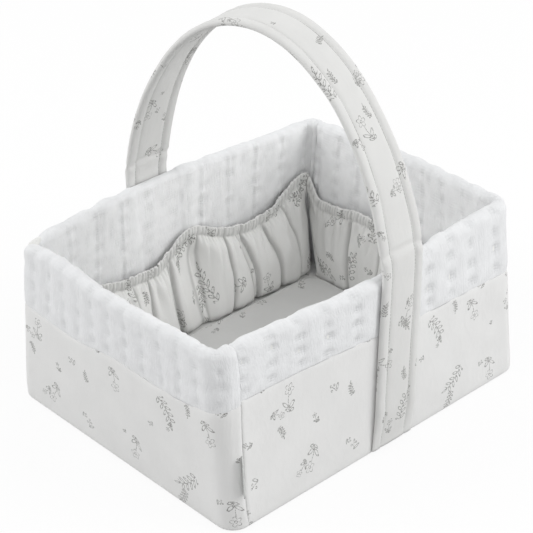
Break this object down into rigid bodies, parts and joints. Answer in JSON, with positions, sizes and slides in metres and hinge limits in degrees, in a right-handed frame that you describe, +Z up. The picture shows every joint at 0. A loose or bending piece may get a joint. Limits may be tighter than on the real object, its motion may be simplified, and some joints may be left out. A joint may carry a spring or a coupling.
{
  "type": "storage basket",
  "caption": "Soft rectangular nursery basket with padded stiffened walls, gathered elastic inner pockets, a loose padded floor insert and a wide tipping carrying strap.",
  "frame": {"origin": "centre of the underside, on the surface that the basket stands on", "axes": "+Z up, +X along the long walls, -Y out of the front long wall"},
  "size_m": [0.3734, 0.3122, 0.372],
  "materials": {
    "white_waffle": "puffy white waffle weave cotton, matt",
    "pale_jersey": "pale warm grey cotton jersey with a fine grey line print, matt",
    "wadding": "bonded polyester wadding",
    "stiff_board": "stiffening board, matt",
    "elastic_band": "woven elastic",
    "tab_tape": "plain woven tape, blank"
  },
  "bodies": {
    "basket": {"front_wall_board": "stiff_board", "front_wall_wadding": "wadding", "front_wall_cover": "pale_jersey", "front_wall_waffle": "white_waffle", "front_pocket": "pale_jersey", "front_pocket_elastic": "elastic_band", "right_wall_board": "stiff_board", "right_wall_wadding": "wadding", "right_wall_cover": "pale_jersey", "right_wall_waffle": "white_waffle", "right_pocket": "pale_jersey", "right_pocket_elastic": "elastic_band", "back_wall_board": "stiff_board", "back_wall_wadding": "wadding", "back_wall_cover": "pale_jersey", "back_wall_waffle": "white_waffle", "back_pocket": "pale_jersey", "back_pocket_elastic": "elastic_band", "left_wall_board": "stiff_board", "left_wall_wadding": "wadding", "left_wall_cover": "pale_jersey", "left_wall_waffle": "white_waffle", "left_pocket": "pale_jersey", "left_pocket_elastic": "elastic_band", "base_cover": "pale_jersey", "base_board": "stiff_board", "base_wadding": "wadding", "floor_lining": "pale_jersey", "strap_front_leg": "pale_jersey", "strap_front_leg_core": "wadding", "strap_front_fold": "pale_jersey", "strap_back_leg": "pale_jersey", "strap_back_leg_core": "wadding", "strap_back_fold": "pale_jersey", "label_tab": "tab_tape"},
    "handle": {"handle_cover": "pale_jersey", "handle_core": "wadding"},
    "insert": {"insert_cover": "pale_jersey", "insert_board": "stiff_board", "insert_wadding": "wadding"}
  },
  "joints": [
    {"name": "handle_tilt", "type": "hinge", "parent": "basket", "child": "handle", "pos_m": [0, 0, 0.1976], "axis": [-0.157, 0.9876, 0], "range_deg": [-90, 90], "deforming": ["strap_front_fold", "strap_back_fold"]},
    {"name": "insert_lift", "type": "slide", "parent": "basket", "child": "insert", "axis": [0, 0, 1], "range_m": [0, 0.15]}
  ]
}
